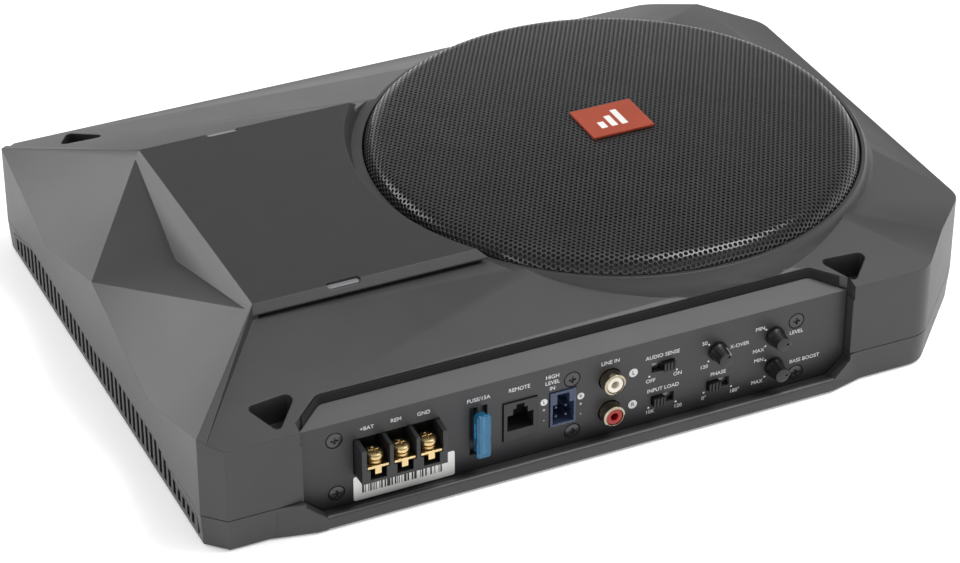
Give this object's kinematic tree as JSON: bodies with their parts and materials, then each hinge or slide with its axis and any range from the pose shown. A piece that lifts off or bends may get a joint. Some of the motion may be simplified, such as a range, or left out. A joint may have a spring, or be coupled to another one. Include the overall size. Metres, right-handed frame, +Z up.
{
  "type": "powered car subwoofer",
  "caption": "Flat under-seat powered subwoofer: low plastic enclosure, round domed perforated grille, faceted vented end and a recessed panel of inputs, fuse, switches and knobs.",
  "frame": {"origin": "centre of the bounding box's bottom face, at floor level under the feet", "axes": "+X right along the control panel, +Y to the back, away from the panel, +Z up"},
  "size_m": [0.345, 0.25, 0.07],
  "materials": {
    "shell_plastic": "fine textured charcoal plastic",
    "panel_plastic": "smooth satin charcoal plastic",
    "seal_foam": "black foam rubber",
    "vent_plastic": "satin black plastic",
    "window_plastic": "pale grey lens",
    "foot_rubber": "matte black rubber",
    "grille_steel": "black powder-coated perforated steel",
    "badge": "orange-red enamel",
    "basket_steel": "black painted pressed steel",
    "motor_steel": "zinc-plated steel",
    "ferrite": "grey ferrite",
    "copper": "enamelled copper wire",
    "cone": "black coated paper",
    "surround_rubber": "matte black rubber",
    "spider_cloth": "resin-stiffened yellow cloth",
    "circuit_board": "green solder mask",
    "heat_sink_aluminium": "extruded aluminium",
    "capacitor_sleeve": "dark sleeve",
    "black_plastic": "black moulded plastic",
    "socket_plastic": "blue-grey translucent plastic",
    "fuse_plastic": "translucent blue plastic",
    "label": "white printed paper label",
    "white_insulator": "cream plastic",
    "red_insulator": "red plastic",
    "jack_metal": "pale gold plating",
    "terminal_brass": "yellow plated brass",
    "screw_steel": "black oxide steel",
    "switch_metal": "tinned steel can",
    "control_plastic": "black moulded plastic"
  },
  "bodies": {
    "enclosure": {"amp_board": "circuit_board", "audio_sense_switch_body": "switch_metal", "bass_boost_potentiometer": "switch_metal", "bottom_shell": "shell_plastic", "control_panel": "panel_plastic", "crossover_potentiometer": "switch_metal", "fuse_holder": "black_plastic", "grille_badge": "badge", "heat_sink": "heat_sink_aluminium", "high_level_socket": "socket_plastic", "input_load_switch_body": "switch_metal", "level_potentiometer": "switch_metal", "line_insulator_left": "white_insulator", "line_insulator_right": "red_insulator", "line_jack_left": "jack_metal", "line_jack_right": "jack_metal", "magnet": "ferrite", "magnet_top_plate": "motor_steel", "magnet_yoke": "motor_steel", "panel_screw_1": "screw_steel", "panel_screw_2": "screw_steel", "panel_screw_3": "screw_steel", "panel_screw_4": "screw_steel", "panel_screw_5": "screw_steel", "panel_screw_6": "screw_steel", "panel_seal": "seal_foam", "phase_switch_body": "switch_metal", "power_transformer": "copper", "remote_jack": "black_plastic", "rubber_foot_1": "foot_rubber", "rubber_foot_2": "foot_rubber", "rubber_foot_3": "foot_rubber", "rubber_foot_4": "foot_rubber", "serial_label": "label", "side_vent_grille": "vent_plastic", "smoothing_capacitor": "capacitor_sleeve", "speaker_grille": "grille_steel", "spider": "spider_cloth", "status_window_back": "window_plastic", "status_window_front": "window_plastic", "terminal_block": "black_plastic", "top_shell": "shell_plastic", "woofer_basket": "basket_steel", "woofer_surround": "surround_rubber"},
    "cone_assembly": {"woofer_cone": "cone", "dust_cap": "cone", "voice_coil": "copper"},
    "crossover_knob_body": {"crossover_knob": "control_plastic"},
    "level_knob_body": {"level_knob": "control_plastic"},
    "bass_boost_knob_body": {"bass_boost_knob": "control_plastic"},
    "audio_sense_slider_body": {"audio_sense_slider": "control_plastic"},
    "input_load_slider_body": {"input_load_slider": "control_plastic"},
    "phase_slider_body": {"phase_slider": "control_plastic"},
    "fuse_body": {"blade_fuse": "fuse_plastic"},
    "clamp_1": {"terminal_clamp_1": "terminal_brass", "terminal_screw_1": "terminal_brass"},
    "clamp_2": {"terminal_clamp_2": "terminal_brass", "terminal_screw_2": "terminal_brass"},
    "clamp_3": {"terminal_clamp_3": "terminal_brass", "terminal_screw_3": "terminal_brass"}
  },
  "joints": [
    {"name": "cone_travel", "type": "slide", "parent": "enclosure", "child": "cone_assembly", "axis": [0, 0, 1], "range_m": [-0.004, 0.004], "stiffness_N_per_m": 2200, "deforming": ["woofer_surround", "spider"]},
    {"name": "crossover_turn", "type": "hinge", "parent": "enclosure", "child": "crossover_knob_body", "pos_m": [0.0422, -0.118, 0.0293], "axis": [0, 1, 0], "range_deg": [-80, 190]},
    {"name": "level_turn", "type": "hinge", "parent": "enclosure", "child": "level_knob_body", "pos_m": [0.0676, -0.118, 0.0293], "axis": [0, 1, 0], "range_deg": [-135, 135]},
    {"name": "bass_boost_turn", "type": "hinge", "parent": "enclosure", "child": "bass_boost_knob_body", "pos_m": [0.0679, -0.118, 0.0147], "axis": [0, 1, 0], "range_deg": [-135, 135]},
    {"name": "audio_sense_slide", "type": "slide", "parent": "enclosure", "child": "audio_sense_slider_body", "axis": [1, 0, 0], "range_m": [-0.0043, 0]},
    {"name": "input_load_slide", "type": "slide", "parent": "enclosure", "child": "input_load_slider_body", "axis": [1, 0, 0], "range_m": [0, 0.0043]},
    {"name": "phase_slide", "type": "slide", "parent": "enclosure", "child": "phase_slider_body", "axis": [1, 0, 0], "range_m": [0, 0.0043]},
    {"name": "fuse_pull", "type": "slide", "parent": "enclosure", "child": "fuse_body", "axis": [0, -1, 0], "range_m": [0, 0.014]},
    {"name": "clamp_1_lift", "type": "slide", "parent": "enclosure", "child": "clamp_1", "axis": [0, 0, 1], "range_m": [0, 0.003]},
    {"name": "clamp_2_lift", "type": "slide", "parent": "enclosure", "child": "clamp_2", "axis": [0, 0, 1], "range_m": [0, 0.003]},
    {"name": "clamp_3_lift", "type": "slide", "parent": "enclosure", "child": "clamp_3", "axis": [0, 0, 1], "range_m": [0, 0.003]}
  ]
}
